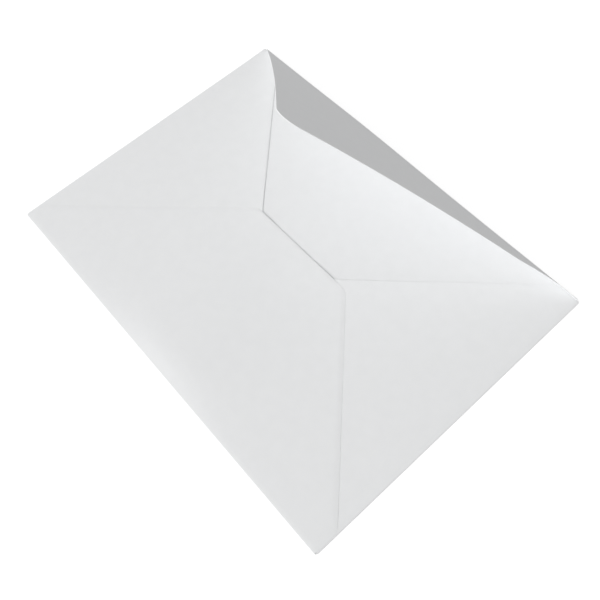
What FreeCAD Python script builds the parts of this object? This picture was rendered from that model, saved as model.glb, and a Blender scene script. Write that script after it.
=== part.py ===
import FreeCAD, Part
import math
import os
import Sketcher

# A pointed-flap envelope, folded and glued from one sheet of paper. It lies on its address face with its
# back up, and its unsealed closing flap stands ajar over the back.
# Lengths are millimetres and angles are degrees. X runs along the long side, Y towards the closing fold and
# Z up. The origin is the middle of the underside, on the surface that the envelope lies on.

DRIVING_SIZES = (
    ("body_length", 165.1, "long side, from side fold to side fold"),
    ("body_height", 120.65, "short side, from bottom fold to closing fold"),
    ("paper_thickness", 0.16, "one layer of paper"),
    ("pocket_gap", 0.6, "space inside, between the front and the side flaps"),
    ("corner_relief", 0.4, "cut-away between two folds at each bottom corner"),
    ("side_top_shoulder", 7.8, "side fold to where a side flap's upper edge would cross the closing fold"),
    ("side_low_shoulder", 3.0, "side fold to where a side flap's lower edge would cross the bottom fold"),
    ("side_edge_slope", 45.0, "a side flap's edges, from the long side"),
    ("side_tip_radius", 3.0, "rounded tip of a side flap"),
    ("bottom_reach", 65.5, "bottom fold to the bottom flap's straight top edge"),
    ("bottom_shoulder", 6.5, "bottom fold to where the bottom flap's sloping edge would cross a side fold"),
    ("bottom_edge_slope", 45.0, "the bottom flap's sloping edges, from the long side"),
    ("bottom_corner_radius", 2.0, "the two corners of the bottom flap's top edge"),
    ("shoulder_radius", 4.0, "rounding where a shoulder turns into a sloping edge"),
    ("crease_radius", 0.3, "inside of the closing fold"),
    ("flap_lift", 55.1, "closing flap at its fold, from lying shut"),
    ("flap_curl_radius", 735.0, "inside of the closing flap's gentle curl"),
    ("flap_depth", 89.2, "closing fold to the flap's point before it is rounded"),
    ("flap_inset", 1.0, "side fold to the end of the closing fold"),
    ("flap_tip_radius", 5.0, "rounded point of the closing flap"),
    ("flap_clearance", 0.3, "side flap's top edge to the closing flap above it"),
)

doc = FreeCAD.newDocument("envelope")
sizes = doc.addObject("Spreadsheet::Sheet", "sizes")
for row, (alias, number, note) in enumerate(DRIVING_SIZES, start=1):
    sizes.set(f"A{row}", note)
    sizes.set(f"B{row}", str(number))
    sizes.setAlias(f"B{row}", alias)
doc.recompute()

# Expressions that several features share.
HALF_LENGTH = "sizes.body_length / 2"
HALF_HEIGHT = "sizes.body_height / 2"
PAPER = "sizes.paper_thickness"

# Undersides of the two upper layers, and the side flaps' upper face.
SIDE_LEVEL = "(sizes.paper_thickness + sizes.pocket_gap)"
BOTTOM_LEVEL = "(2 * sizes.paper_thickness + sizes.pocket_gap)"

# Each round fold turns the paper back over the front, so its outer diameter is the layers it wraps.
SIDE_FOLD = "(sizes.paper_thickness + sizes.pocket_gap / 2)"
BOTTOM_FOLD = "(1.5 * sizes.paper_thickness + sizes.pocket_gap / 2)"

# The front's flat area ends where the folds begin.
FLAT_SIDE = f"({HALF_LENGTH} - {SIDE_FOLD})"
FLAT_BOTTOM = f"({HALF_HEIGHT} - {BOTTOM_FOLD})"
FLAT_TOP = f"({HALF_HEIGHT} - sizes.crease_radius - sizes.paper_thickness)"

# The closing flap turns up round the crease and then follows its curl. Both bends share the direction that
# the crease ends in, measured at their centres from +Y towards +Z.
CREASE_CENTRE_Z = "(sizes.crease_radius + sizes.paper_thickness)"
CREASE_END = "(90 - sizes.flap_lift)"
CURL_SWEEP = "(sizes.flap_depth / sizes.flap_curl_radius * 180 / pi)"
HINGE_Y = f"({FLAT_TOP} + sizes.crease_radius * cos({CREASE_END}))"
HINGE_Z = f"({CREASE_CENTRE_Z} + sizes.crease_radius * sin({CREASE_END}))"
FLAP_HALF_WIDTH = f"({HALF_LENGTH} - sizes.flap_inset)"

# A side flap ends just short of the closing flap that rises over it.
SIDE_TOP = f"({HINGE_Y} - ({BOTTOM_LEVEL} - {HINGE_Z}) / tan(sizes.flap_lift) - sizes.flap_clearance)"
SIDE_LOW = f"({FLAT_BOTTOM} - sizes.corner_relief)"


def value(expression):
    """The number that a sheet expression gives."""
    result = sizes.evalExpression(expression)
    return float(getattr(result, "Value", result))


def bind(feature, path, expression):
    """Ties a property of a feature to a sheet expression."""
    feature.setExpression(path, expression)


def new_sketch(body, name, plane):
    """A sketch on one of the body's origin planes."""
    sketch = body.newObject("Sketcher::SketchObject", name)
    support = [feature for feature in body.Origin.OriginFeatures if feature.Role == plane]
    sketch.AttachmentSupport = (support[0], [""])
    sketch.MapMode = "FlatFace"
    return sketch


def hold(sketch, kind, place, expression):
    """A dimension of a sketch that follows a sheet expression."""
    index = sketch.addConstraint(Sketcher.Constraint(kind, *place, value(expression)))
    bind(sketch, f"Constraints[{index}]", expression)


def pin(sketch, geometry, point, x, y):
    """Holds a point of a sketch at x and y from the sketch's origin."""
    hold(sketch, "DistanceX", (-1, 1, geometry, point), x)
    hold(sketch, "DistanceY", (-1, 1, geometry, point), y)


def join(sketch, kind, *places):
    sketch.addConstraint(Sketcher.Constraint(kind, *places))


def draw_outline(sketch, corners):
    """A closed outline of straight edges. A corner is (x, y), or (x, y, radius) where it is rounded."""
    sharp = [FreeCAD.Vector(value(corner[0]), value(corner[1]), 0) for corner in corners]
    ends = []
    for index, corner in enumerate(corners):
        back = (sharp[index - 1] - sharp[index]).normalize()
        ahead = (sharp[(index + 1) % len(sharp)] - sharp[index]).normalize()
        setback = 0
        if len(corner) == 3:
            setback = value(corner[2]) / math.tan(back.getAngle(ahead) / 2)
        ends.append((sharp[index] + back * setback, sharp[index] + ahead * setback))

    edges = []
    for index in range(len(corners)):
        start = ends[index][1]
        stop = ends[(index + 1) % len(corners)][0]
        edges.append(sketch.addGeometry(Part.LineSegment(start, stop), False))

    for index, corner in enumerate(corners):
        before = edges[index - 1]
        after = edges[index]
        if len(corner) == 2:
            join(sketch, "Coincident", before, 2, after, 1)
            pin(sketch, after, 1, corner[0], corner[1])
            continue
        round_corner(sketch, sharp[index], ends[index], before, after, corner)


def round_corner(sketch, sharp, ends, before, after, corner):
    """An arc that touches both edges of a corner, whose sharp point stays as construction geometry."""
    inward = (ends[0] + ends[1] - sharp * 2).normalize()
    reach = ends[0] - sharp
    half_angle = reach.getAngle(inward)
    radius = value(corner[2])
    centre = sharp + inward * (radius / math.sin(half_angle))
    spokes = [end - centre for end in ends]
    angles = [math.atan2(spoke.y, spoke.x) for spoke in spokes]
    turns_left = spokes[0].cross(spokes[1]).z > 0
    if not turns_left:
        angles.reverse()
    circle = Part.Circle(centre, FreeCAD.Vector(0, 0, 1), radius)
    arc = sketch.addGeometry(Part.ArcOfCircle(circle, angles[0], angles[1]), False)
    first, last = (1, 2) if turns_left else (2, 1)
    join(sketch, "Tangent", before, 2, arc, first)
    join(sketch, "Tangent", arc, last, after, 1)
    hold(sketch, "Radius", (arc,), corner[2])
    point = sketch.addGeometry(Part.Point(sharp), True)
    join(sketch, "PointOnObject", point, 1, before)
    join(sketch, "PointOnObject", point, 1, after)
    pin(sketch, point, 1, corner[0], corner[1])


def draw_bent_paper(sketch, centre, bends):
    """The cut edge of the paper round bends that all turn the same way.

    centre is the first bend's centre. A bend is (inner radius, start, stop), with its directions measured at
    its centre, and each bend takes over smoothly from the one before.
    """
    faces = []
    for offset in ("0", PAPER):
        arcs = []
        x, y = (value(size) for size in centre)
        for index, (inner, start, stop) in enumerate(bends):
            radius = f"({inner} + {offset})"
            start_angle = math.radians(value(start))
            stop_angle = math.radians(value(stop))
            if index:
                change = value(bends[index - 1][0]) - value(inner)
                x += change * math.cos(start_angle)
                y += change * math.sin(start_angle)
            circle = Part.Circle(FreeCAD.Vector(x, y, 0), FreeCAD.Vector(0, 0, 1), value(radius))
            arc = sketch.addGeometry(Part.ArcOfCircle(circle, start_angle, stop_angle), False)
            hold(sketch, "Radius", (arc,), radius)
            if index:
                join(sketch, "Tangent", arcs[-1], 2, arc, 1)
            else:
                pin(sketch, arc, 3, centre[0], centre[1])
                hold(sketch, "DistanceX", (arc, 3, arc, 1), f"{radius} * cos({start})")
            hold(sketch, "DistanceX", (arc, 3, arc, 2), f"{radius} * cos({stop})")
            arcs.append(arc)
        faces.append(arcs)

    inner_face, outer_face = faces
    for arc, point in ((0, 1), (-1, 2)):
        start = sketch.getPoint(outer_face[arc], point)
        stop = sketch.getPoint(inner_face[arc], point)
        end = sketch.addGeometry(Part.LineSegment(start, stop), False)
        join(sketch, "Coincident", outer_face[arc], point, end, 1)
        join(sketch, "Coincident", inner_face[arc], point, end, 2)


def pad(body, name, sketch, length, symmetric=False):
    """Adds a sketch's thickness, or its width to both sides of its plane."""
    feature = body.newObject("PartDesign::Pad", name)
    feature.Profile = sketch
    if symmetric:
        feature.SideType = "Symmetric"
    bind(feature, "Length", length)
    doc.recompute()
    return feature


def make_closing_flap(body):
    """The crease and the curled flap, cut to its pointed outline square to its chord."""
    section = new_sketch(body, "closing_flap_section", "YZ_Plane")
    crease = ("sizes.crease_radius", "-90", CREASE_END)
    curl = ("sizes.flap_curl_radius", CREASE_END, f"({CREASE_END} + {CURL_SWEEP})")
    draw_bent_paper(section, (FLAT_TOP, CREASE_CENTRE_Z), (crease, curl))
    strip = pad(body, "closing_flap_strip", section, f"2 * {FLAP_HALF_WIDTH}", symmetric=True)

    outline = new_sketch(body, "closing_flap_outline", "XY_Plane")
    outline.AttachmentOffset = FreeCAD.Placement(FreeCAD.Vector(), FreeCAD.Rotation(FreeCAD.Vector(1, 0, 0), 90))
    bind(outline, "AttachmentOffset.Base.y", HINGE_Y)
    bind(outline, "AttachmentOffset.Base.z", HINGE_Z)
    bind(outline, "AttachmentOffset.Rotation.Angle", f"180 - sizes.flap_lift + {CURL_SWEEP} / 2")
    waste_side = f"({FLAP_HALF_WIDTH} + sizes.flap_inset)"
    waste_end = "(sizes.flap_depth + sizes.flap_tip_radius)"
    draw_outline(outline, (
        (FLAP_HALF_WIDTH, "0"),
        (waste_side, "0"),
        (waste_side, waste_end),
        (f"-{waste_side}", waste_end),
        (f"-{waste_side}", "0"),
        (f"-{FLAP_HALF_WIDTH}", "0"),
        ("0", "sizes.flap_depth", "sizes.flap_tip_radius"),
    ))
    cut = body.newObject("PartDesign::Pocket", "closing_flap_cut")
    cut.Profile = outline
    cut.SideType = "Symmetric"
    bind(cut, "Length", "sizes.flap_depth")
    whole = strip.Shape.Volume
    doc.recompute()
    if not cut.Shape.Volume < 0.7 * whole:
        raise RuntimeError("the closing flap was not cut to its point")


def make_front(body):
    """The address face, flat between the four folds."""
    outline = new_sketch(body, "front_outline", "XY_Plane")
    draw_outline(outline, (
        (f"-{FLAT_SIDE}", f"-{FLAT_BOTTOM}"),
        (FLAT_SIDE, f"-{FLAT_BOTTOM}"),
        (FLAT_SIDE, FLAT_TOP),
        (f"-{FLAT_SIDE}", FLAT_TOP),
    ))
    pad(body, "front", outline, PAPER)


def make_side_flaps(body):
    """A round fold and a flap with two sloping edges on the left, and their mirror images on the right."""
    fold_section = new_sketch(body, "side_fold_section", "XZ_Plane")
    bind(fold_section, "AttachmentOffset.Base.z", f"-{SIDE_TOP}")
    draw_bent_paper(fold_section, (f"-{FLAT_SIDE}", SIDE_FOLD), (("sizes.pocket_gap / 2", "90", "270"),))
    fold = pad(body, "side_fold", fold_section, f"{SIDE_TOP} + {SIDE_LOW}")

    run = "tan(sizes.side_edge_slope)"
    tip = f"((sizes.body_height / {run} + sizes.side_top_shoulder + sizes.side_low_shoulder) / 2)"
    outline = new_sketch(body, "side_flap_outline", "XY_Plane")
    bind(outline, "AttachmentOffset.Base.z", SIDE_LEVEL)
    draw_outline(outline, (
        (f"-{FLAT_SIDE}", f"-{SIDE_LOW}"),
        (f"-{HALF_LENGTH} + sizes.side_low_shoulder + ({HALF_HEIGHT} - {SIDE_LOW}) / {run}", f"-{SIDE_LOW}"),
        (f"-{HALF_LENGTH} + {tip}", f"{HALF_HEIGHT} - ({tip} - sizes.side_top_shoulder) * {run}",
         "sizes.side_tip_radius"),
        (f"-{HALF_LENGTH} + sizes.side_top_shoulder + ({HALF_HEIGHT} - {SIDE_TOP}) / {run}", SIDE_TOP,
         "sizes.shoulder_radius"),
        (f"-{FLAT_SIDE}", SIDE_TOP),
    ))
    flap = pad(body, "side_flap", outline, PAPER)

    pair = body.newObject("PartDesign::Mirrored", "side_flap_pair")
    pair.Originals = [fold, flap]
    pair.MirrorPlane = ([plane for plane in body.Origin.OriginFeatures if plane.Role == "YZ_Plane"][0], [""])
    body.Tip = pair
    doc.recompute()


def make_bottom_flap(body):
    """The round bottom fold and the flap that is glued over both side flaps."""
    half_width = f"({FLAT_SIDE} - sizes.corner_relief)"
    fold_section = new_sketch(body, "bottom_fold_section", "YZ_Plane")
    fold_inner = "(sizes.paper_thickness + sizes.pocket_gap) / 2"
    draw_bent_paper(fold_section, (f"-{FLAT_BOTTOM}", BOTTOM_FOLD), ((fold_inner, "90", "270"),))
    pad(body, "bottom_fold", fold_section, f"2 * {half_width}", symmetric=True)

    run = "tan(sizes.bottom_edge_slope)"
    shoulder = f"(sizes.bottom_shoulder + ({HALF_LENGTH} - {half_width}) * {run} - {HALF_HEIGHT})"
    top = f"(sizes.bottom_reach - {HALF_HEIGHT})"
    top_half = f"({HALF_LENGTH} - (sizes.bottom_reach - sizes.bottom_shoulder) / {run})"
    outline = new_sketch(body, "bottom_flap_outline", "XY_Plane")
    bind(outline, "AttachmentOffset.Base.z", BOTTOM_LEVEL)
    draw_outline(outline, (
        (f"-{half_width}", f"-{FLAT_BOTTOM}"),
        (half_width, f"-{FLAT_BOTTOM}"),
        (half_width, shoulder, "sizes.shoulder_radius"),
        (top_half, top, "sizes.bottom_corner_radius"),
        (f"-{top_half}", top, "sizes.bottom_corner_radius"),
        (f"-{half_width}", shoulder, "sizes.shoulder_radius"),
    ))
    pad(body, "bottom_flap", outline, PAPER)


envelope = doc.addObject("PartDesign::Body", "envelope")
envelope.Label = "envelope"
envelope.Placement = FreeCAD.Placement()
make_closing_flap(envelope)
make_front(envelope)
make_side_flaps(envelope)
make_bottom_flap(envelope)
doc.recompute()

for item in doc.Objects:
    if "Invalid" in item.State or "Error" in item.State:
        raise RuntimeError(f"{item.Name} failed: {item.State}")
    if item.TypeId == "Sketcher::SketchObject" and not item.FullyConstrained:
        raise RuntimeError(f"{item.Name} is not fully constrained")
paper_shape = envelope.Shape
if paper_shape.isNull() or not paper_shape.isValid() or len(paper_shape.Solids) != 1:
    raise RuntimeError("the envelope is not one valid solid")

os.makedirs("parts", exist_ok=True)
paper_shape.exportStep(f"parts/{envelope.Label}.step")
box = paper_shape.BoundBox
print(f"envelope: {box.XLength:.2f} x {box.YLength:.2f} x {box.ZLength:.2f} mm, {paper_shape.Volume:.0f} mm3")
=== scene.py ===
import math

import bpy
import numpy as np
from mathutils import Matrix, Vector


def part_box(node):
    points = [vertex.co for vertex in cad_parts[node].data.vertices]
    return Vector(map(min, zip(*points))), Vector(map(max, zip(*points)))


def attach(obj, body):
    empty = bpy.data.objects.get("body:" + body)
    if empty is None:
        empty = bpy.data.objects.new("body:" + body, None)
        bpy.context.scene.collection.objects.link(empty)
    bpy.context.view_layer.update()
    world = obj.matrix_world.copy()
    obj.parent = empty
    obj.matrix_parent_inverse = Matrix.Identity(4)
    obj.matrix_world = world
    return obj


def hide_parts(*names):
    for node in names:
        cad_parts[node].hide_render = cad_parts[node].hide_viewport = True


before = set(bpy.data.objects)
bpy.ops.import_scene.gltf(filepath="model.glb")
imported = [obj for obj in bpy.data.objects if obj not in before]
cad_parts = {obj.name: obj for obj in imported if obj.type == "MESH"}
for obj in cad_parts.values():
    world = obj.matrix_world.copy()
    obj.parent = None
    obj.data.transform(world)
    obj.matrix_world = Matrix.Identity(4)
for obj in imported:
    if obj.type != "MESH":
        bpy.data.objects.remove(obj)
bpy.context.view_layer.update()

# The envelope is one folded sheet of paper. This script makes that sheet again as a fine mesh, with the
# softness of real paper: a pocket that swells a little, edges that lift, and faces that are never quite
# flat. Sizes are millimetres until the mesh is made, and then metres. As in the frame, x runs along the
# long side, y towards the closing fold and z up from the address face.

MILLIMETRE = 0.001
low_corner, high_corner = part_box("envelope")
LENGTH = (high_corner.x - low_corner.x) / MILLIMETRE
HEIGHT = (high_corner.y - low_corner.y) / MILLIMETRE
HALF_LENGTH = LENGTH / 2
HALF_HEIGHT = HEIGHT / 2

# The paper.
PAPER = 0.16
EDGE_THICKNESS = 0.08      # the die squeezes the paper at the flaps' cut edges
SEAM_THICKNESS = 0.05      # and the press thins the bottom flap towards its glued sloping edges
SEAM_TAPER = 1.5
LAYER_STEP = 0.165         # one layer to the next where they are glued, with room for a film of glue
SHARP_ANGLE = math.radians(50)     # a sharper bend than this is shaded as an edge

# The side flaps and the bottom flap. A shoulder is the distance from a corner of the envelope to where a
# sloping edge, carried on, would cross the next fold.
CORNER_RELIEF = 0.4        # cut-away between two folds at a bottom corner
LEFT_TOP_SHOULDER = 8.0    # upper edge of a side flap, along the closing fold
RIGHT_TOP_SHOULDER = 8.9
SIDE_LOW_SHOULDER = 3.0    # its lower edge, along the bottom fold
SIDE_TIP_RADIUS = 3.0
SIDE_TOP_DROP = 0.75       # closing fold to the side flaps' straight top edges
SIDE_BLEND_REACH = 30.0    # x at which the left flap's values have turned into the right one's
BOTTOM_REACH = 66.1        # bottom fold to the bottom flap's straight top edge
LEFT_BOTTOM_SHOULDER = 6.0     # edge of the bottom flap, along the side fold
RIGHT_BOTTOM_SHOULDER = 8.8
BOTTOM_CORNER_RADIUS = 2.0
BOTTOM_CORNER_HALF_TURN = math.radians(22.5)
SHOULDER_SOFTNESS = 0.8    # rounds the corner where a shoulder meets its sloping edge
DIAGONAL = math.sqrt(2)    # every sloping edge of these flaps runs at 45 degrees
TIP_TRIM = 0.02            # a flap's last row lies this short of its point, so that it has a width

# The closing flap.
CREASE_RADIUS = 0.22       # middle of the paper round the closing fold
FLAP_LIFT = math.radians(55.1)
FLAP_CURL_RADIUS = 735.0
FLAP_DEPTH = 89.2
FLAP_INSET = 1.0           # side fold to the closing flap's end
FLAP_BASE = HALF_LENGTH - FLAP_INSET
FLAP_HALF_ANGLE = math.atan2(FLAP_BASE, FLAP_DEPTH)
FLAP_TIP_RADIUS = 6.8
FLAP_TIP_CENTRE = FLAP_DEPTH - FLAP_TIP_RADIUS / math.sin(FLAP_HALF_ANGLE)
FLAP_END = FLAP_TIP_CENTRE + FLAP_TIP_RADIUS - TIP_TRIM
FLAP_SPLAY = math.radians(4.5)   # the closing flap's right end stands this much more open
SPLAY_START, SPLAY_END = 60.0, 79.0
TIP_DROOP = 0.6            # its point curls down by this much more
TIP_DROOP_START = 50.0
GUM_INSET = 1.2            # cut edge to the near side of the band of gum inside the closing flap
GUM_END = 11.0             # and to its far side
GUM_FROM_FOLD = 9.0        # closing fold to the band's ends
GUM_SOFT_EDGE = 0.5
GUM_SOFT_END = 0.6

# The pocket: how far apart its front and back lie, from one paper's middle to the other's.
GAP_AT_CORNER = 0.20
GAP_AT_FOLD = 0.21
GAP_POWER = 0.55           # the smaller, the sooner the gap opens from the corners
SWELL = 1.05               # how far the back springs up behind the middle of the bottom fold
SWELL_RISE = 11.0          # distance from that fold to the top of the swelling
SWELL_HALF_WIDTH = 28.0

# How the layers rise and sink.
LEFT_EDGE_LIFT = 0.02      # the side flaps' free edges stand up by this
RIGHT_EDGE_LIFT = 0.10
EDGE_LIFT_REACH = 6.0
LEFT_LIFT_FADE = 0.7       # power by which that lift fades towards the closing fold
RIGHT_LIFT_FADE = 0.3
BACK_FADE_POWER = 0.8      # the smaller, the nearer to the side folds lift and waves begin
CORNER_LIFT = 0.04         # the bottom flap's left top corner, which the glue doesn't reach
CORNER_LIFT_REACH = 22.0
CORNER_LIFT_DEPTH = 4.0
TOP_SAG = 0.14             # the bottom flap's top edge sinks between the side flaps' points
TOP_SAG_HALF_WIDTH = 16.0
TOP_SAG_REACH = 9.0
CREASE_RISE = 0.30         # the open flap holds the front up along the closing fold
CREASE_RISE_REACH = 5.5
CREASE_BOW = 0.8           # and more towards the left, where the crease bows up
CREASE_BOW_PLACE = -20.0
CREASE_BOW_HALF_WIDTH = 32.0

# Slow waves in every face, as a sum of sine waves with seeded lengths, headings and phases.
FACE_WAVE = 0.06
WAVE_COUNT = 7
SHORTEST_WAVE, LONGEST_WAVE = 28, 90
FRONT_SEED, BACK_SEED, CLOSING_SEED = 3, 8, 21
CLOSING_WAVE_SQUEEZE = 1.3     # along the closing fold its flap's waves lie this much closer
CLOSING_WAVE_START = 12    # distance from the closing fold at which its waves have their full height

# How finely the mesh is divided. A packing above 1 draws a flap's rows together towards its free end.
FRONT_COLUMNS, FRONT_ROWS = 116, 84
END_COLUMN_GAP = 0.3       # end of the bottom fold to the column where the closing flap ends
BEND_STEPS = 8
SIDE_ROWS, SIDE_PACKING = 45, 1.35
BOTTOM_ROWS, BOTTOM_PACKING = 49, 1.15
CLOSING_ROWS, CLOSING_PACKING = 63, 1.4
SIDE_SETTLE = 9            # a flap has left its fold's height after 1 / this of its length
BOTTOM_SETTLE = 30


def smooth_bump(share, power):
    """0 at both ends of 0..1, and 1 in the middle."""
    return np.sin(np.pi * np.clip(share, 0, 1)) ** power


def smooth_step(share):
    """0 up to 0, 1 from 1, and smooth between."""
    share = np.clip(share, 0, 1)
    return share ** 2 * (3 - 2 * share)


def left_to_right(left, right, x):
    """The left side's value, blended into the right side's over the middle."""
    return left + (right - left) * smooth_step((x + SIDE_BLEND_REACH) / (2 * SIDE_BLEND_REACH))


def soft_max(one, other):
    """The larger of two, rounded where they cross."""
    return (one + other + np.sqrt((one - other) ** 2 + SHOULDER_SOFTNESS ** 2)) / 2


def waves(x, y, seed):
    """A slow, repeatable unevenness from -1 to 1 over the envelope."""
    rng = np.random.default_rng(seed)
    total = np.zeros_like(x, dtype=float)
    for _ in range(WAVE_COUNT):
        length = rng.uniform(SHORTEST_WAVE, LONGEST_WAVE)
        heading = rng.uniform(0, 2 * np.pi)
        phase = rng.uniform(0, 2 * np.pi)
        total += np.sin((x * np.cos(heading) + y * np.sin(heading)) * 2 * np.pi / length + phase)
    return total / WAVE_COUNT


def pocket_gap(x, y):
    """Distance between the front and the layer above it."""
    along = smooth_bump(x / LENGTH + 0.5, GAP_POWER)
    across = smooth_bump(y / HEIGHT + 0.5, GAP_POWER)
    rim = GAP_AT_CORNER + (GAP_AT_FOLD - GAP_AT_CORNER) * (1 - (1 - along) * (1 - across))
    from_fold = y + HALF_HEIGHT
    rise = 1 - np.clip(1 - from_fold / SWELL_RISE, 0, 1) ** 2
    fall = smooth_step((from_fold - SWELL_RISE) / (BOTTOM_REACH - SWELL_RISE))
    swell = SWELL * rise * (1 - fall) * np.exp(-(x / SWELL_HALF_WIDTH) ** 2)
    return rim + swell


def front_height(x, y):
    """Middle of the front's paper above the surface it lies on."""
    rise = CREASE_RISE + CREASE_BOW * np.exp(-((x - CREASE_BOW_PLACE) / CREASE_BOW_HALF_WIDTH) ** 2)
    rise = rise * np.exp(-(HALF_HEIGHT - y) / CREASE_RISE_REACH)
    return PAPER / 2 + rise + FACE_WAVE * 0.5 * (1 + waves(x, y, FRONT_SEED))


def side_fold_radius(y):
    return pocket_gap(np.full_like(y, HALF_LENGTH, dtype=float), y) / 2


def bottom_fold_radius(x):
    return (pocket_gap(x, np.full_like(x, -HALF_HEIGHT, dtype=float)) + LAYER_STEP) / 2


def side_edge_distance(x, y):
    """How far a point of a side flap lies inside its upper sloping edge."""
    shoulder = left_to_right(LEFT_TOP_SHOULDER, RIGHT_TOP_SHOULDER, x)
    return ((HALF_HEIGHT - y) - (HALF_LENGTH - np.abs(x) - shoulder)) / DIAGONAL


def back_height(x, y):
    """Middle of a side flap's paper."""
    most = left_to_right(LEFT_EDGE_LIFT, RIGHT_EDGE_LIFT, x)
    lift = most * np.exp(-np.clip(side_edge_distance(x, y), 0, None) / EDGE_LIFT_REACH)
    fade = left_to_right(LEFT_LIFT_FADE, RIGHT_LIFT_FADE, x)
    lift = lift * np.clip(1 - y / HALF_HEIGHT, 0, 1) ** fade
    wave = FACE_WAVE * (1 + waves(x, y, BACK_SEED))
    own_rise = (lift + wave) * smooth_bump(x / LENGTH + 0.5, BACK_FADE_POWER)
    return front_height(x, y) + pocket_gap(x, y) + own_rise


def bottom_flap_height(x, y):
    """Middle of the bottom flap's paper, which lies on the side flaps."""
    left, _ = bottom_edges(y)
    inside = np.clip((x - left) / DIAGONAL, 0, None)
    from_top = np.clip(BOTTOM_REACH - HALF_HEIGHT - y, 0, None)
    lift = CORNER_LIFT * np.exp(-inside / CORNER_LIFT_DEPTH - (from_top / CORNER_LIFT_REACH) ** 2)
    sag = TOP_SAG * smooth_step((TOP_SAG_HALF_WIDTH - np.abs(x)) / TOP_SAG_REACH)
    sag = sag * np.exp(-from_top / TOP_SAG_REACH)
    return back_height(x, y) + LAYER_STEP + lift - sag


def side_flap_tip(shoulder):
    """Where the left side flap would end if its two sloping edges met in a sharp point."""
    return (HEIGHT + shoulder + SIDE_LOW_SHOULDER) / 2 - HALF_LENGTH


def side_flap_end(shoulder):
    """Where the left side flap ends, with its point rounded."""
    return side_flap_tip(shoulder) - SIDE_TIP_RADIUS * (DIAGONAL - 1) - TIP_TRIM


def side_flap_edges(x, shoulder):
    """Lower and upper edge of a side flap at each x, as if it were the left one."""
    tip = side_flap_tip(shoulder)
    tip_y = HALF_HEIGHT - (tip + HALF_LENGTH - shoulder)
    centre = tip - SIDE_TIP_RADIUS * DIAGONAL
    arc = np.sqrt(np.clip(SIDE_TIP_RADIUS ** 2 - (x - centre) ** 2, 0, None))
    opening = np.where(x > centre + SIDE_TIP_RADIUS / DIAGONAL, arc, tip - x)
    top_limit = HALF_HEIGHT - SIDE_TOP_DROP
    low_limit = -(HALF_HEIGHT - bottom_fold_radius(x) - CORNER_RELIEF)
    return soft_max(tip_y - opening, low_limit), -soft_max(-(tip_y + opening), -top_limit)


def bottom_fold_half():
    """Half the length of the bottom fold, between its two corner reliefs."""
    return HALF_LENGTH - GAP_AT_CORNER / 2 - CORNER_RELIEF


def bottom_half_width(y, shoulder):
    """The bottom flap's width to one side of its middle at each y, with the top corner rounded."""
    sloping = HALF_LENGTH - (y + HALF_HEIGHT - shoulder)
    half = -soft_max(-np.asarray(sloping, float), -bottom_fold_half())
    top = BOTTOM_REACH - HALF_HEIGHT
    corner = HALF_LENGTH - (BOTTOM_REACH - shoulder)
    setback = BOTTOM_CORNER_RADIUS * math.tan(BOTTOM_CORNER_HALF_TURN)
    centre_x = corner - setback
    centre_y = top - BOTTOM_CORNER_RADIUS
    round_start = top - setback / DIAGONAL
    arc = centre_x + np.sqrt(np.clip(BOTTOM_CORNER_RADIUS ** 2 - (y - centre_y) ** 2, 0, None))
    return np.where(y > round_start, arc, half)


def bottom_edges(y):
    """Left and right edge of the bottom flap at each y."""
    return -bottom_half_width(y, LEFT_BOTTOM_SHOULDER), bottom_half_width(y, RIGHT_BOTTOM_SHOULDER)


def bottom_flap_thickness(x, y):
    """The bottom flap's paper, thinner towards its sloping edges."""
    left, right = bottom_edges(y)
    inside = np.minimum(x - left, right - x) / DIAGONAL
    return SEAM_THICKNESS + (PAPER - SEAM_THICKNESS) * smooth_step(inside / SEAM_TAPER)


def closing_half_width(reach):
    """Half the closing flap's width at each distance from its fold, with its point rounded."""
    round_start = FLAP_TIP_CENTRE + FLAP_TIP_RADIUS * math.sin(FLAP_HALF_ANGLE)
    arc = np.sqrt(np.clip(FLAP_TIP_RADIUS ** 2 - (reach - FLAP_TIP_CENTRE) ** 2, 0, None))
    return np.where(reach > round_start, arc, FLAP_BASE * (1 - reach / FLAP_DEPTH))


def flap_lift(x):
    """Angle between the closing flap and the back, at its fold."""
    return FLAP_LIFT + FLAP_SPLAY * smooth_step((x - SPLAY_START) / (SPLAY_END - SPLAY_START))


def gum_cover(x, reach):
    """1 where gum lies on the closing flap's inside, and 0 elsewhere."""
    from_edge = (closing_half_width(reach) - np.abs(x)) * math.cos(FLAP_HALF_ANGLE)
    cover = np.clip((GUM_END - from_edge) / GUM_SOFT_END, 0, 1)
    cover = cover * np.clip((from_edge - GUM_INSET) / GUM_SOFT_EDGE, 0, 1)
    return cover * np.clip((reach - GUM_FROM_FOLD) / GUM_SOFT_END, 0, 1)


def row_places(count, packing):
    """Where a flap's rows lie, as shares of its length from its fold to its free end."""
    return 1 - (1 - np.linspace(0, 1, count + 1)[1:]) ** packing


class SheetMesh:
    """Points and four-sided faces of one sheet of paper."""

    def __init__(self):
        self.points = []
        self.faces = []
        self.gum = []
        self.thickness = []

    def add_row(self, x, y, z, gum=0.0, thickness=PAPER):
        """Adds a row of points and returns their numbers."""
        x, y, z, gum, thickness = np.broadcast_arrays(x, y, z, gum, thickness)
        first = len(self.points)
        self.points.extend(zip(x.tolist(), y.tolist(), z.tolist()))
        self.gum.extend(gum.tolist())
        self.thickness.extend(thickness.tolist())
        return np.arange(first, first + len(x))

    def add_flap_row(self, x, y, z, thickness):
        """A row of a flap that lies on other paper, which it still touches where it is thinner."""
        return self.add_row(x, y, z - (PAPER - thickness) / 2, thickness=thickness)

    def join_rows(self, one, other, turned):
        """Joins two rows. The faces look into the envelope when each row has its next one on its left."""
        if turned:
            one, other = other, one
        for index in range(len(one) - 1):
            self.faces.append((one[index], one[index + 1], other[index + 1], other[index]))

    def places(self, row):
        """The x, y and z of a row's points."""
        return np.array([self.points[number] for number in row]).T


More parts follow.
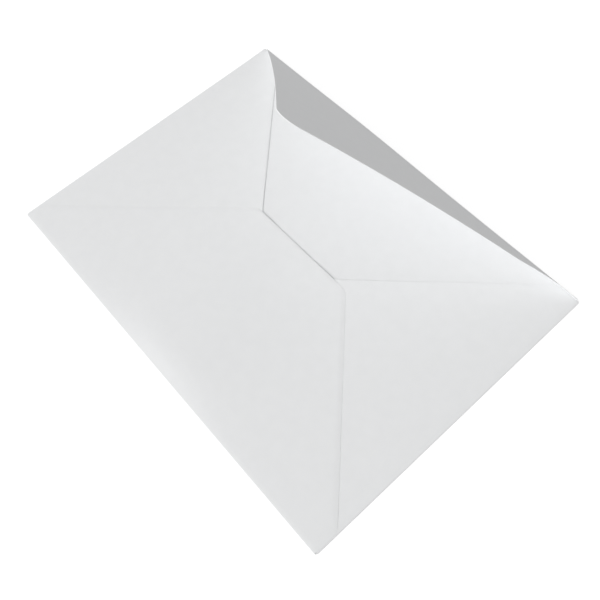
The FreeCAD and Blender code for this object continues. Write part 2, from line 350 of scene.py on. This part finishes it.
def add_front(sheet):
    """The front, column by column from left to right. Returns its points' numbers in that order."""
    bottom_half = bottom_fold_half()
    shares = np.linspace(-1, 1, FRONT_COLUMNS + 1) * bottom_half / HALF_LENGTH
    flap_share = max(FLAP_BASE, bottom_half + END_COLUMN_GAP) / HALF_LENGTH
    column_shares = np.concatenate([[-1, -flap_share], shares, [flap_share, 1]])
    low_share = -1 + (CORNER_RELIEF + GAP_AT_CORNER / 2) / HALF_HEIGHT
    top_share = 1 - (SIDE_TOP_DROP - CREASE_RADIUS - PAPER / 2) / HALF_HEIGHT
    row_shares = np.concatenate([[-1], np.linspace(low_share, top_share, FRONT_ROWS + 1), [1]])

    top_y = HALF_HEIGHT - CREASE_RADIUS - PAPER / 2
    front = []
    for share in column_shares:
        nominal_x = np.full(len(row_shares), share * HALF_LENGTH)
        nominal_y = row_shares * HALF_HEIGHT
        side_limit = HALF_LENGTH - PAPER / 2 - side_fold_radius(nominal_y)
        bottom_limit = HALF_HEIGHT - PAPER / 2 - bottom_fold_radius(nominal_x)
        x = share * side_limit
        y = -bottom_limit + (row_shares + 1) / 2 * (top_y + bottom_limit)
        front.append(sheet.add_row(x, y, front_height(x, y)))
    for one, other in zip(front, front[1:]):
        sheet.join_rows(one, other, turned=True)
    return np.array(front)


def add_side_flap(sheet, edge, side, shoulder):
    """A side flap, from its fold to its point. The side is -1 on the left and 1 on the right."""
    start_x, start_y, start_z = sheet.places(edge)
    radius = side_fold_radius(start_y)
    last = edge
    for step in range(1, BEND_STEPS + 1):
        turn = math.pi * step / BEND_STEPS
        x = start_x + side * radius * math.sin(turn)
        z = start_z + radius * (1 - math.cos(turn))
        row = sheet.add_row(x, start_y, z)
        sheet.join_rows(last, row, turned=side > 0)
        last = row

    fold_top = start_z + 2 * radius
    shares_up = np.linspace(0, 1, len(edge))
    for step in row_places(SIDE_ROWS, SIDE_PACKING):
        x_left = -np.abs(start_x) + step * (side_flap_end(shoulder) + np.abs(start_x))
        low, top = side_flap_edges(x_left, shoulder)
        y = low + (top - low) * shares_up
        settle = min(1, step * SIDE_SETTLE)
        y = start_y * (1 - settle) + y * settle
        x = x_left * -side
        z = fold_top * (1 - settle) + back_height(x, y) * settle
        thickness = np.full(len(z), EDGE_THICKNESS if step == 1 else PAPER)
        thickness[[0, -1]] = EDGE_THICKNESS
        row = sheet.add_flap_row(x, y, z, thickness)
        sheet.join_rows(last, row, turned=side > 0)
        last = row


def add_bottom_flap(sheet, edge):
    """The bottom flap, from its fold to its straight top edge."""
    start_x, start_y, start_z = sheet.places(edge)
    radius = bottom_fold_radius(start_x)
    last = edge
    for step in range(1, BEND_STEPS + 1):
        turn = math.pi * step / BEND_STEPS
        y = start_y - radius * math.sin(turn)
        z = start_z + radius * (1 - math.cos(turn))
        row = sheet.add_row(start_x, y, z)
        sheet.join_rows(last, row, turned=True)
        last = row

    fold_top = start_z + 2 * radius
    top = BOTTOM_REACH - HALF_HEIGHT
    shares_right = (start_x / start_x[-1] + 1) / 2
    for step in row_places(BOTTOM_ROWS, BOTTOM_PACKING):
        y = start_y + step * (top - start_y)
        left, right = bottom_edges(y)
        x = left + (right - left) * shares_right
        settle = min(1, step * BOTTOM_SETTLE)
        z = fold_top * (1 - settle) + bottom_flap_height(x, y) * settle
        thickness = np.minimum(bottom_flap_thickness(x, y), EDGE_THICKNESS if step == 1 else PAPER)
        row = sheet.add_flap_row(x, y, z, thickness)
        sheet.join_rows(last, row, turned=True)
        last = row


def add_closing_flap(sheet, edge):
    """The closing flap, round its crease and then along its curl to its point."""
    start_x, start_y, start_z = sheet.places(edge)
    across = start_x / start_x[-1]
    last = edge
    for step in range(1, BEND_STEPS + 1):
        x = across * closing_half_width(0.0)
        turn = (math.pi - flap_lift(x)) * step / BEND_STEPS
        y = start_y + CREASE_RADIUS * np.sin(turn)
        z = start_z + CREASE_RADIUS * (1 - np.cos(turn))
        row = sheet.add_row(x, y, z)
        sheet.join_rows(last, row, turned=False)
        last = row

    for share in row_places(CLOSING_ROWS, CLOSING_PACKING):
        reach = share * FLAP_END
        turned = reach / FLAP_CURL_RADIUS
        x = across * closing_half_width(reach)
        lift = flap_lift(x)
        hinge_y = start_y + CREASE_RADIUS * np.sin(lift)
        hinge_z = front_height(x, start_y) + CREASE_RADIUS * (1 + np.cos(lift))
        to_tip = (reach - TIP_DROOP_START) / (FLAP_END - TIP_DROOP_START)
        wave = FACE_WAVE * 2 * waves(x * CLOSING_WAVE_SQUEEZE, np.full_like(x, reach), CLOSING_SEED)
        wave = wave * min(1, reach / CLOSING_WAVE_START)
        wave = wave - TIP_DROOP * max(0, to_tip) ** 2
        along = FLAP_CURL_RADIUS * (np.sin(lift) - np.sin(lift - turned))
        rise = FLAP_CURL_RADIUS * (np.cos(lift - turned) - np.cos(lift))
        y = hinge_y - along + wave * np.sin(lift - turned)
        z = hinge_z + rise + wave * np.cos(lift - turned)
        row = sheet.add_row(x, y, z, gum_cover(x, reach))
        sheet.join_rows(last, row, turned=False)
        last = row


def make_sheet():
    """The whole sheet, front first and then each flap from the fold that joins it to the front."""
    sheet = SheetMesh()
    front = add_front(sheet)
    add_side_flap(sheet, front[0][1:-1], -1, LEFT_TOP_SHOULDER)
    add_side_flap(sheet, front[-1][1:-1], 1, RIGHT_TOP_SHOULDER)
    add_bottom_flap(sheet, front[2:-2, 0])
    add_closing_flap(sheet, front[1:-1, -1])
    return sheet


def make_object(sheet, inside, outside, cut_edge):
    """Gives the sheet its thickness and makes it a piece of the scene."""
    mesh = bpy.data.meshes.new("paper_sheet")
    for material in (inside, outside, cut_edge):
        mesh.materials.append(material)
    mesh.from_pydata((np.array(sheet.points) * MILLIMETRE).tolist(), [], sheet.faces)
    gum = mesh.attributes.new("gum", "FLOAT", "POINT")
    gum.data.foreach_set("value", sheet.gum)
    mesh.validate()
    piece = bpy.data.objects.new("folded_paper", mesh)
    bpy.context.scene.collection.objects.link(piece)

    share = piece.vertex_groups.new(name="thickness")
    for number, thickness in enumerate(sheet.thickness):
        share.add([number], thickness / PAPER, "REPLACE")
    thick = piece.modifiers.new("thickness", "SOLIDIFY")
    thick.thickness = PAPER * MILLIMETRE
    thick.vertex_group = share.name
    thick.offset = 0
    thick.use_even_offset = True
    thick.material_offset = 1
    thick.material_offset_rim = 2
    graph = bpy.context.evaluated_depsgraph_get()
    solid = bpy.data.meshes.new_from_object(piece.evaluated_get(graph))
    piece.modifiers.clear()
    piece.data = solid
    piece.vertex_groups.clear()
    solid.name = "folded_paper"
    solid.shade_smooth()
    solid.set_sharp_from_angle(angle=SHARP_ANGLE)
    return piece


# The paper's look. Scales are in repeats for each metre. Each pair of tones is the lighter and the darker
# colour of the paper's clouds.
INSIDE_TONES = ((0.864, 0.870, 0.876), (0.852, 0.858, 0.864))
OUTSIDE_TONES = ((0.876, 0.883, 0.889), (0.864, 0.871, 0.877))
# The cut edge's tones are lighter than the faces': painted light, standing in for light that comes through
# the thin paper and for a lit cut edge.
CUT_EDGE_PAINTED_LIGHT_TONES = ((0.93, 0.93, 0.93), (0.90, 0.90, 0.90))
FACE_BUMP = 0.35
CUT_EDGE_BUMP = 0.6
BUMP_DEPTH = 0.00006
CLOUD_SCALE, CLOUD_DETAIL, CLOUD_RELIEF = 240, 4, 0.9
CLOUD_RANGE = (0.35, 0.65)
GRAIN_SCALE, GRAIN_DETAIL, GRAIN_RELIEF = 5200, 3, 0.35
GRAIN_RANGE = (0.3, 0.7)
ROUGHNESS_RANGE = (0.74, 0.88)
FIBRE_SCALE, FIBRE_DETAIL, FIBRE_RELIEF = 900, 3, 0.45
FIBRE_RANGE = (0.62, 0.74)
FIBRE_RUNS = ((0.3, (1, 7, 1)), (1.4, (1, 8, 1)), (2.5, (1, 6, 1)))    # heading, and how thin on each axis
FIBRE_TINT = 0.35
FIBRE_BRIGHTNESS = 1.02
NOISE_ROUGHNESS = 0.55
GUM_COLOUR = (0.86, 0.86, 0.83, 1)
GUM_TINT = 0.5
GUM_ROUGHNESS = 0.33
PAPER_SPECULAR = 0.35
PAPER_IOR = 1.45


def set_socket(tree, socket, setting):
    """Sets a shader socket to a value, or links it where the setting is another node's output."""
    if isinstance(setting, bpy.types.NodeSocket):
        tree.links.new(setting, socket)
    else:
        socket.default_value = setting


def node(tree, kind, **inputs):
    """A shader node with its inputs set to values or linked to sockets."""
    made = tree.nodes.new(kind)
    for name, setting in inputs.items():
        set_socket(tree, made.inputs[name.replace("_", " ")], setting)
    return made


def noise_texture(tree, place, scale, detail):
    made = node(tree, "ShaderNodeTexNoise", Vector=place, Scale=scale, Detail=detail)
    made.inputs["Roughness"].default_value = NOISE_ROUGHNESS
    return made.outputs["Fac"]


def stretched(tree, place, angle, shape):
    """The place turned by an angle and squeezed, so that a texture there runs in streaks."""
    made = node(tree, "ShaderNodeMapping", Rotation=(0, 0, angle), Scale=shape, Vector=place)
    return made.outputs["Vector"]


def math_node(tree, operation, one, other):
    made = tree.nodes.new("ShaderNodeMath")
    made.operation = operation
    set_socket(tree, made.inputs[0], one)
    set_socket(tree, made.inputs[1], other)
    return made.outputs[0]


def map_range(tree, setting, from_range, to_range):
    made = node(tree, "ShaderNodeMapRange", Value=setting)
    names = ("From Min", "From Max", "To Min", "To Max")
    for name, number in zip(names, (*from_range, *to_range)):
        made.inputs[name].default_value = number
    return made.outputs["Result"]


def mix(tree, kind, share, one, other):
    """Blends two values, with kind FLOAT, or two colours, with kind RGBA."""
    made = tree.nodes.new("ShaderNodeMix")
    made.data_type = kind
    for name, setting in (("Factor", share), ("A", one), ("B", other)):
        set_socket(tree, made.inputs[name], setting)
    return made.outputs["Result"]


def paper_material(name, tones, gummed=False, bump=FACE_BUMP):
    """Wove paper: cloudy formation, short fibres that run every way, and a soft, faintly uneven face."""
    material = bpy.data.materials.new(name)
    material.use_nodes = True
    tree = material.node_tree
    tree.nodes.clear()
    place = tree.nodes.new("ShaderNodeTexCoord").outputs["Object"]
    colour, shade_colour = tones

    clouds = noise_texture(tree, place, CLOUD_SCALE, CLOUD_DETAIL)
    fibres = None
    for angle, shape in FIBRE_RUNS:
        streaks = noise_texture(tree, stretched(tree, place, angle, shape), FIBRE_SCALE, FIBRE_DETAIL)
        threads = map_range(tree, streaks, FIBRE_RANGE, (0, 1))
        fibres = threads if fibres is None else math_node(tree, "MAXIMUM", fibres, threads)
    grain = noise_texture(tree, place, GRAIN_SCALE, GRAIN_DETAIL)

    tone = map_range(tree, clouds, CLOUD_RANGE, (0, 1))
    base = mix(tree, "RGBA", tone, (*shade_colour, 1), (*colour, 1))
    bright_colour = [min(1, channel * FIBRE_BRIGHTNESS) for channel in colour]
    base = mix(tree, "RGBA", math_node(tree, "MULTIPLY", fibres, FIBRE_TINT), base, (*bright_colour, 1))
    rough = map_range(tree, grain, GRAIN_RANGE, ROUGHNESS_RANGE)
    if gummed:
        gum = tree.nodes.new("ShaderNodeAttribute")
        gum.attribute_name = "gum"
        gum_share = math_node(tree, "MULTIPLY", gum.outputs["Fac"], GUM_TINT)
        base = mix(tree, "RGBA", gum_share, base, GUM_COLOUR)
        rough = mix(tree, "FLOAT", gum.outputs["Fac"], rough, GUM_ROUGHNESS)

    cloud_height = math_node(tree, "MULTIPLY", clouds, CLOUD_RELIEF)
    grain_height = math_node(tree, "MULTIPLY", grain, GRAIN_RELIEF)
    fibre_height = math_node(tree, "MULTIPLY", fibres, FIBRE_RELIEF)
    height = math_node(tree, "ADD", math_node(tree, "ADD", cloud_height, grain_height), fibre_height)
    relief = node(tree, "ShaderNodeBump", Strength=bump, Distance=BUMP_DEPTH, Height=height)
    shader = node(tree, "ShaderNodeBsdfPrincipled", Base_Color=base, Roughness=rough, IOR=PAPER_IOR,
                  Specular_IOR_Level=PAPER_SPECULAR, Normal=relief.outputs["Normal"])
    output = tree.nodes.new("ShaderNodeOutputMaterial")
    tree.links.new(shader.outputs["BSDF"], output.inputs["Surface"])
    return material


# The studio: a pale floor, an even sky and one broad lamp.
FLOOR_DROP = 0.0002
FLOOR_SIZE = 3.0
FLOOR_COLOUR = (0.60, 0.60, 0.60, 1)
FLOOR_GLOW = 0.69          # what the camera sees on top of the lit floor, so that it looks white
WHITE = (1, 1, 1, 1)
SKY_STRENGTH = 0.54
SEEN_SKY_STRENGTH = 1.0    # the sky where the camera sees it, past the floor
KEY_POWER = 78.0
KEY_SIZE = 2.2
KEY_DISTANCE = 3.5
KEY_HEADING = math.radians(18)      # from straight behind the bottom fold, round to the left side
KEY_RISE = math.radians(31)


def seen_share(tree):
    """1 for rays from the camera and for those that shiny or clear things send on, and else 0."""
    path = tree.nodes.new("ShaderNodeLightPath")
    shiny = math_node(tree, "MAXIMUM", path.outputs["Is Camera Ray"], path.outputs["Is Glossy Ray"])
    return math_node(tree, "MAXIMUM", shiny, path.outputs["Is Transmission Ray"])


def floor_material():
    material = bpy.data.materials.new("floor")
    material.use_nodes = True
    tree = material.node_tree
    tree.nodes.clear()
    matt = node(tree, "ShaderNodeBsdfDiffuse", Color=FLOOR_COLOUR)
    glow_strength = math_node(tree, "MULTIPLY", seen_share(tree), FLOOR_GLOW)
    glow = node(tree, "ShaderNodeEmission", Color=WHITE, Strength=glow_strength)
    both = tree.nodes.new("ShaderNodeAddShader")
    tree.links.new(matt.outputs[0], both.inputs[0])
    tree.links.new(glow.outputs[0], both.inputs[1])
    output = tree.nodes.new("ShaderNodeOutputMaterial")
    tree.links.new(both.outputs[0], output.inputs["Surface"])
    return material


def make_floor():
    mesh = bpy.data.meshes.new("floor")
    half = FLOOR_SIZE / 2
    corners = [(-half, -half, 0), (half, -half, 0), (half, half, 0), (-half, half, 0)]
    mesh.from_pydata(corners, [], [(0, 1, 2, 3)])
    mesh.materials.append(floor_material())
    floor = bpy.data.objects.new("floor", mesh)
    floor.location.z = -FLOOR_DROP
    bpy.context.scene.collection.objects.link(floor)


def make_sky():
    world = bpy.data.worlds.new("studio")
    bpy.context.scene.world = world
    world.use_nodes = True
    tree = world.node_tree
    tree.nodes.clear()
    strength = mix(tree, "FLOAT", seen_share(tree), SKY_STRENGTH, SEEN_SKY_STRENGTH)
    background = node(tree, "ShaderNodeBackground", Color=WHITE, Strength=strength)
    output = tree.nodes.new("ShaderNodeOutputWorld")
    tree.links.new(background.outputs[0], output.inputs["Surface"])


def make_key():
    """A broad soft lamp to the photo's left."""
    data = bpy.data.lights.new("key", "AREA")
    data.shape = "DISK"
    data.size = KEY_SIZE
    data.energy = KEY_POWER
    key = bpy.data.objects.new("key", data)
    level = KEY_DISTANCE * math.cos(KEY_RISE)
    rise = KEY_DISTANCE * math.sin(KEY_RISE)
    place = Vector((-level * math.sin(KEY_HEADING), -level * math.cos(KEY_HEADING), rise))
    key.location = place
    key.rotation_mode = "QUATERNION"
    key.rotation_quaternion = (-place).to_track_quat("-Z", "Y")
    bpy.context.scene.collection.objects.link(key)


# The photo's camera, found from the envelope's four corners.
CAMERA_PLACE = Vector((0.102452, -0.066126, 0.211423))
CAMERA_BACK = Vector((0.36405, -0.24661, 0.89814))
CAMERA_UP = Vector((-0.6546, 0.61822, 0.43508))
PHOTO_PIXELS = 600
LENS_PIXELS = 675.06       # the lens's focal length, measured in the photo's pixels
SENSOR = 36.0
NEAREST_SEEN = 0.01


def make_camera():
    data = bpy.data.cameras.new("camera")
    data.sensor_width = SENSOR
    data.lens = SENSOR * LENS_PIXELS / PHOTO_PIXELS
    data.clip_start = NEAREST_SEEN
    camera = bpy.data.objects.new("camera", data)
    back = CAMERA_BACK.normalized()
    right = CAMERA_UP.cross(back).normalized()
    up = back.cross(right)
    turn = Matrix((right, up, back)).transposed()
    camera.matrix_world = Matrix.Translation(CAMERA_PLACE) @ turn.to_4x4()
    bpy.context.scene.collection.objects.link(camera)
    bpy.context.scene.camera = camera


paper = make_object(
    make_sheet(),
    paper_material("paper_inside", INSIDE_TONES, gummed=True),
    paper_material("paper_outside", OUTSIDE_TONES),
    # the cut edge is painted lighter: painted light through the paper and on its edge
    paper_material("paper_cut_edge", CUT_EDGE_PAINTED_LIGHT_TONES, bump=CUT_EDGE_BUMP),
)
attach(paper, "root")
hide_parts("envelope")

make_floor()
make_sky()
make_key()
make_camera()
bpy.context.scene.view_settings.view_transform = "Standard"
